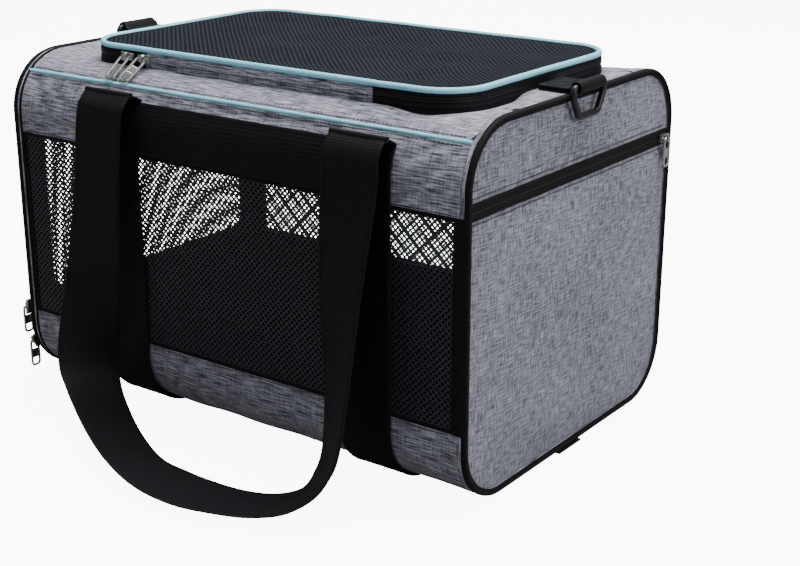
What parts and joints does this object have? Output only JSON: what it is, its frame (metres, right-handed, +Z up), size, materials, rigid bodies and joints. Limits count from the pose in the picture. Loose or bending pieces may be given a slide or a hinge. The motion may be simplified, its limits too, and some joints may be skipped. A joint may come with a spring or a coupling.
{
  "type": "pet transport carrier",
  "caption": "Soft-sided pet carrier with mesh sides, a zip-round mesh lid and end door, an end pocket, sling-strap carry handles, D-rings and a padded floor.",
  "frame": {"origin": "centre of the underside, on the surface that the sling straps rest on", "axes": "+X towards the end with the zip pocket, -X towards the mesh door, -Y towards the near long side with the lid's hinge, +Z up"},
  "size_m": [0.4446, 0.5104, 0.2802],
  "materials": {
    "heather": "woven grey melange polyester, matte",
    "black_fabric": "black woven tape and binding, matte",
    "mesh": "black knitted mesh, matte",
    "webbing": "black ribbed webbing, slight sheen",
    "piping": "pale blue covered piping cord",
    "board": "dark stiffener board",
    "ring_plastic": "black moulded plastic",
    "nickel": "nickel-plated zip hardware"
  },
  "bodies": {
    "root": {"base_board": "board", "base_fabric": "heather", "door_end_floor_tab": "webbing", "door_end_gusset": "black_fabric", "door_end_ring_tab": "webbing", "door_end_sling_strap": "webbing", "door_end_upper_panel": "heather", "door_zip_coil": "black_fabric", "far_cross_band": "webbing", "far_lower_band": "heather", "far_shoulder_panel": "heather", "far_shoulder_piping": "piping", "far_window_mesh": "mesh", "floor_pad": "mesh", "lid_hinge_strip": "heather", "lid_zip_lower_tape": "black_fabric", "near_cross_band": "webbing", "near_lower_band": "heather", "near_shoulder_panel": "heather", "near_shoulder_piping": "piping", "near_window_mesh": "mesh", "pocket_end_binding": "black_fabric", "pocket_end_floor_tab": "webbing", "pocket_end_liner": "heather", "pocket_end_ring_tab": "webbing", "pocket_end_sling_strap": "webbing", "pocket_end_upper_panel": "heather", "pocket_panel": "heather", "pocket_zip_tape": "black_fabric", "tether_strap": "webbing", "top_panel": "heather"},
    "lid": {"lid_mesh": "mesh", "lid_piping": "piping", "lid_zip_upper_tape": "black_fabric"},
    "door": {"door_border": "black_fabric", "door_lower_panel": "heather", "door_mesh": "mesh"},
    "near_handle": {"near_handle_strap": "webbing"},
    "far_handle": {"far_handle_strap": "webbing"},
    "pocket_end_ring": {"pocket_end_d_ring": "ring_plastic"},
    "door_end_ring": {"door_end_d_ring": "ring_plastic"},
    "lid_zip_left": {"lid_zip_left_slider": "nickel"},
    "lid_zip_left_pull": {"lid_zip_left_pull_loop": "nickel"},
    "lid_zip_right": {"lid_zip_right_slider": "nickel"},
    "lid_zip_right_pull": {"lid_zip_right_pull_loop": "nickel"},
    "door_zip_upper": {"door_zip_upper_slider": "nickel"},
    "door_zip_upper_pull": {"door_zip_upper_pull_loop": "nickel"},
    "door_zip_lower": {"door_zip_lower_slider": "nickel"},
    "door_zip_lower_pull": {"door_zip_lower_pull_loop": "nickel"},
    "pocket_zip": {"pocket_zip_slider": "nickel"},
    "pocket_zip_pull": {"pocket_zip_pull_loop": "nickel"}
  },
  "joints": [
    {"name": "lid_hinge", "type": "hinge", "parent": "root", "child": "lid", "pos_m": [0, -0.1055, 0.2782], "axis": [1, 0, 0], "range_deg": [0, 180]},
    {"name": "door_hinge", "type": "hinge", "parent": "root", "child": "door", "pos_m": [-0.2148, 0, 0.0066], "axis": [0, -1, 0], "range_deg": [0, 91]},
    {"name": "near_handle_swing", "type": "hinge", "parent": "root", "child": "near_handle", "pos_m": [0, -0.145, 0.2525], "axis": [1, 0, 0], "range_deg": [-178, 0]},
    {"name": "far_handle_swing", "type": "hinge", "parent": "root", "child": "far_handle", "pos_m": [0, 0.145, 0.2525], "axis": [-1, 0, 0], "range_deg": [-178, 0]},
    {"name": "pocket_end_ring_swing", "type": "hinge", "parent": "root", "child": "pocket_end_ring", "pos_m": [0.2178, 0, 0.273], "axis": [0, -1, 0], "range_deg": [0, 170]},
    {"name": "door_end_ring_swing", "type": "hinge", "parent": "root", "child": "door_end_ring", "pos_m": [-0.2178, 0, 0.273], "axis": [0, 1, 0], "range_deg": [0, 170]},
    {"name": "lid_zip_left_travel", "type": "slide", "parent": "root", "child": "lid_zip_left", "axis": [-1, 0, 0], "range_m": [0, 0.009]},
    {"name": "lid_zip_right_travel", "type": "slide", "parent": "root", "child": "lid_zip_right", "axis": [-1, 0, 0], "range_m": [0, 0.003]},
    {"name": "door_zip_upper_travel", "type": "slide", "parent": "root", "child": "door_zip_upper", "axis": [0, 0, 1], "range_m": [0, 0.155]},
    {"name": "door_zip_lower_travel", "type": "hinge", "parent": "root", "child": "door_zip_lower", "pos_m": [-0.2158, -0.0952, 0.0474], "axis": [1, 0, 0], "range_deg": [-2, 8]},
    {"name": "pocket_zip_travel", "type": "slide", "parent": "root", "child": "pocket_zip", "axis": [0, -1, 0], "range_m": [0, 0.25]},
    {"name": "lid_zip_left_pull_lift", "type": "hinge", "parent": "lid_zip_left", "child": "lid_zip_left_pull", "pos_m": [-0.116, -0.1111, 0.2723], "axis": [-0.9954, 0, 0.0963], "range_deg": [0, 36]},
    {"name": "lid_zip_right_pull_lift", "type": "hinge", "parent": "lid_zip_right", "child": "lid_zip_right_pull", "pos_m": [-0.0985, -0.1111, 0.2723], "axis": [-0.9517, 0, 0.307], "range_deg": [0, 36]},
    {"name": "door_zip_upper_pull_lift", "type": "hinge", "parent": "door_zip_upper", "child": "door_zip_upper_pull", "pos_m": [-0.2195, -0.1393, 0.06], "axis": [0, 1, 0], "range_deg": [0, 170]},
    {"name": "door_zip_lower_pull_lift", "type": "hinge", "parent": "door_zip_lower", "child": "door_zip_lower_pull", "pos_m": [-0.2195, -0.13517, 0.02876], "axis": [0, 1, 0], "range_deg": [0, 110]},
    {"name": "pocket_zip_pull_lift", "type": "hinge", "parent": "pocket_zip", "child": "pocket_zip_pull", "pos_m": [0.2165, 0.129, 0.211], "axis": [0, -1, 0], "range_deg": [0, 170]}
  ]
}
